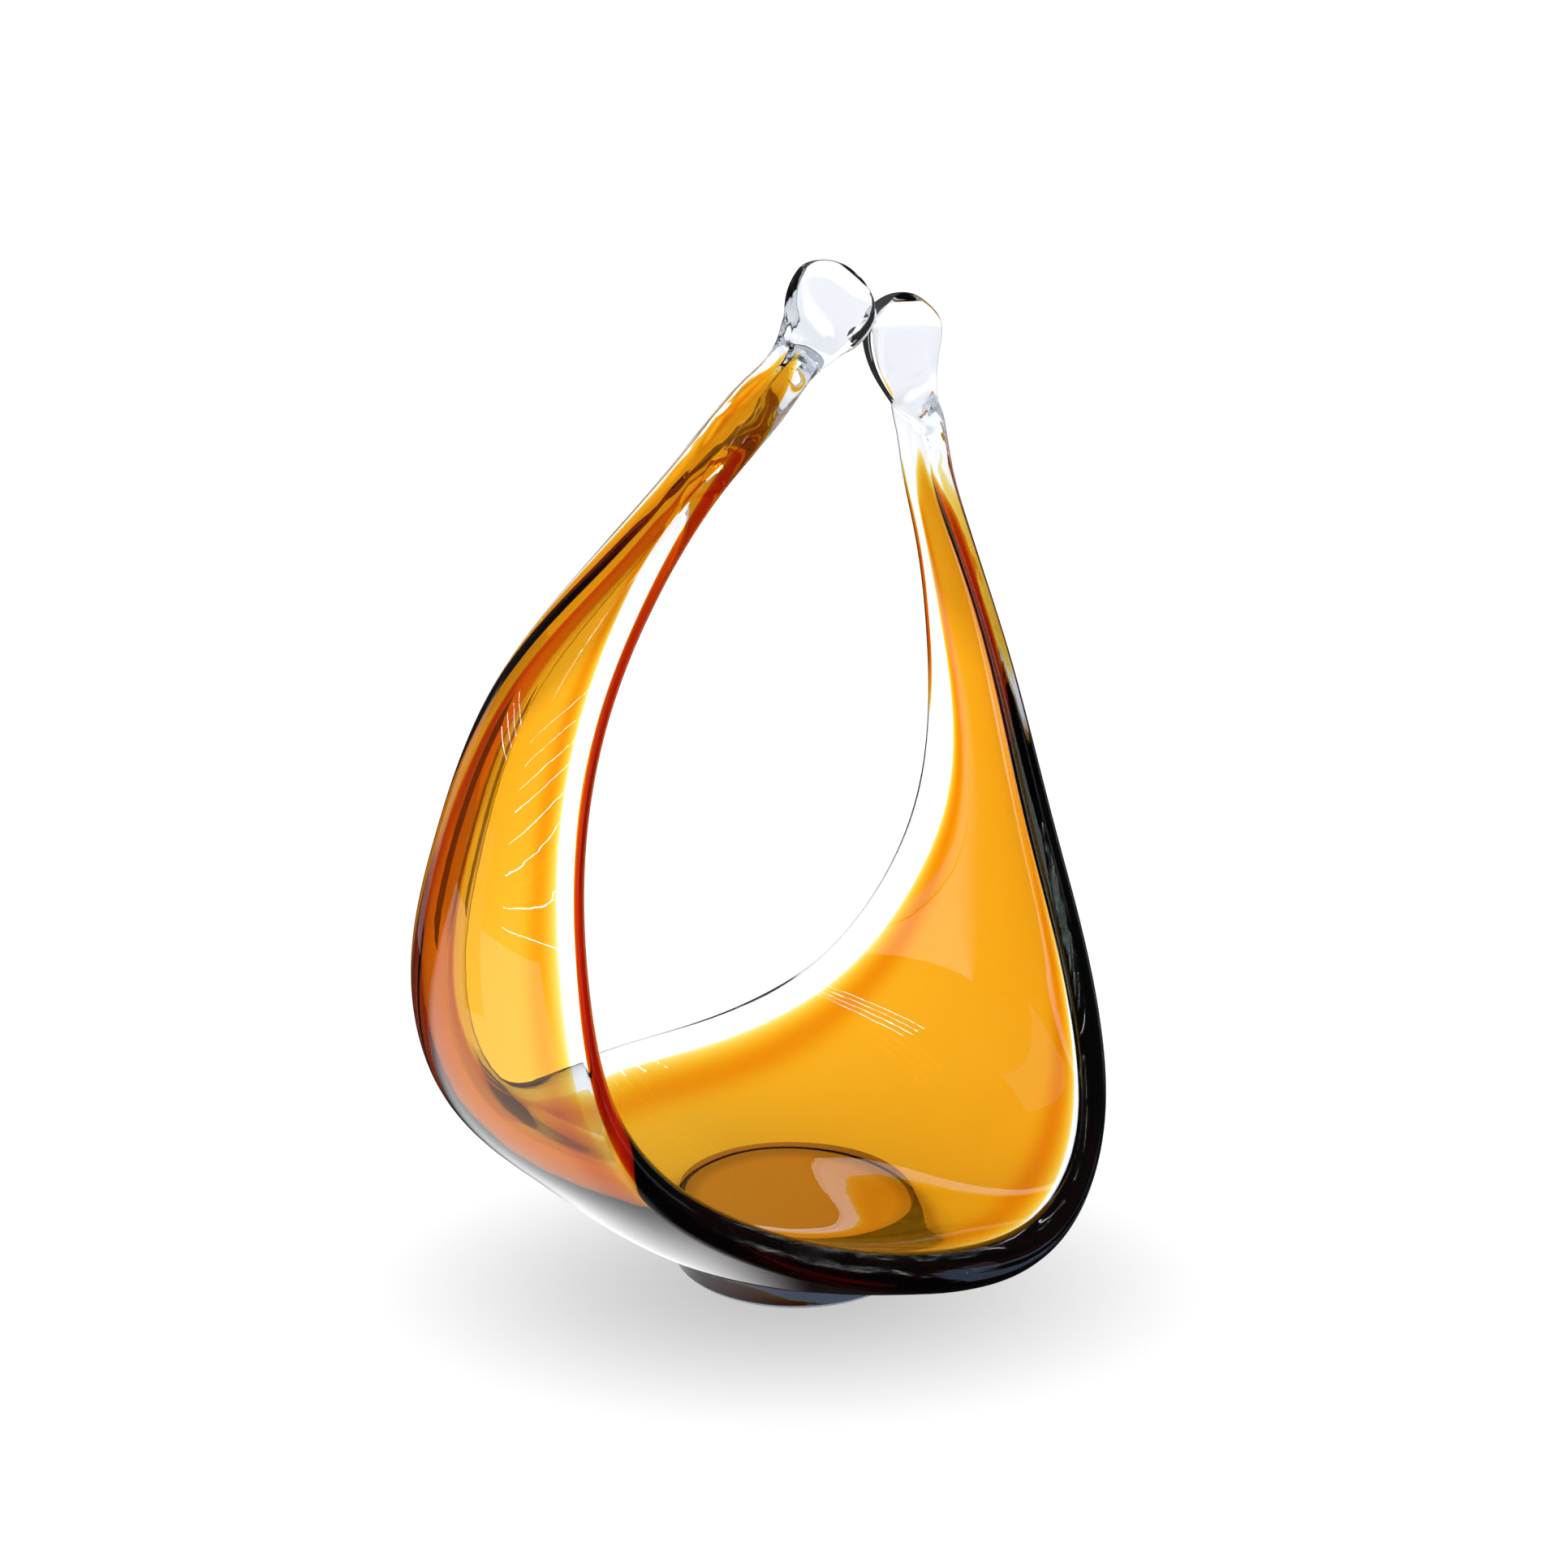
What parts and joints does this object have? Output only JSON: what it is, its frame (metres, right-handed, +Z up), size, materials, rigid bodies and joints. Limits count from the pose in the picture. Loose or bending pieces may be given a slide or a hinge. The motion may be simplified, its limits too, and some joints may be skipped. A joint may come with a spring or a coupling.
{
  "type": "art glass basket bowl",
  "caption": "Free-form basket bowl of amber glass cased in clear glass: a boat-shaped dish whose two ends are pulled up into arms that meet over it in touching knobs.",
  "frame": {"origin": "centre of the foot, on the surface that the bowl stands on", "axes": "+Z up; +X from the arm that ends in the larger, higher knob towards the other arm; +Y across the mouth of the bowl, away from the viewer who has the first arm on the left"},
  "size_m": [0.2218, 0.1898, 0.3167],
  "materials": {
    "clear_glass": "fire-polished clear glass; the underside of the foot is ground flat and polished",
    "amber_glass": "transparent amber glass, sealed between two layers of clear glass"
  },
  "bodies": {
    "root": {"inner_lining": "clear_glass", "amber_layer": "amber_glass", "outer_casing": "clear_glass", "left_knob": "clear_glass", "right_knob": "clear_glass", "foot": "clear_glass"}
  },
  "joints": []
}
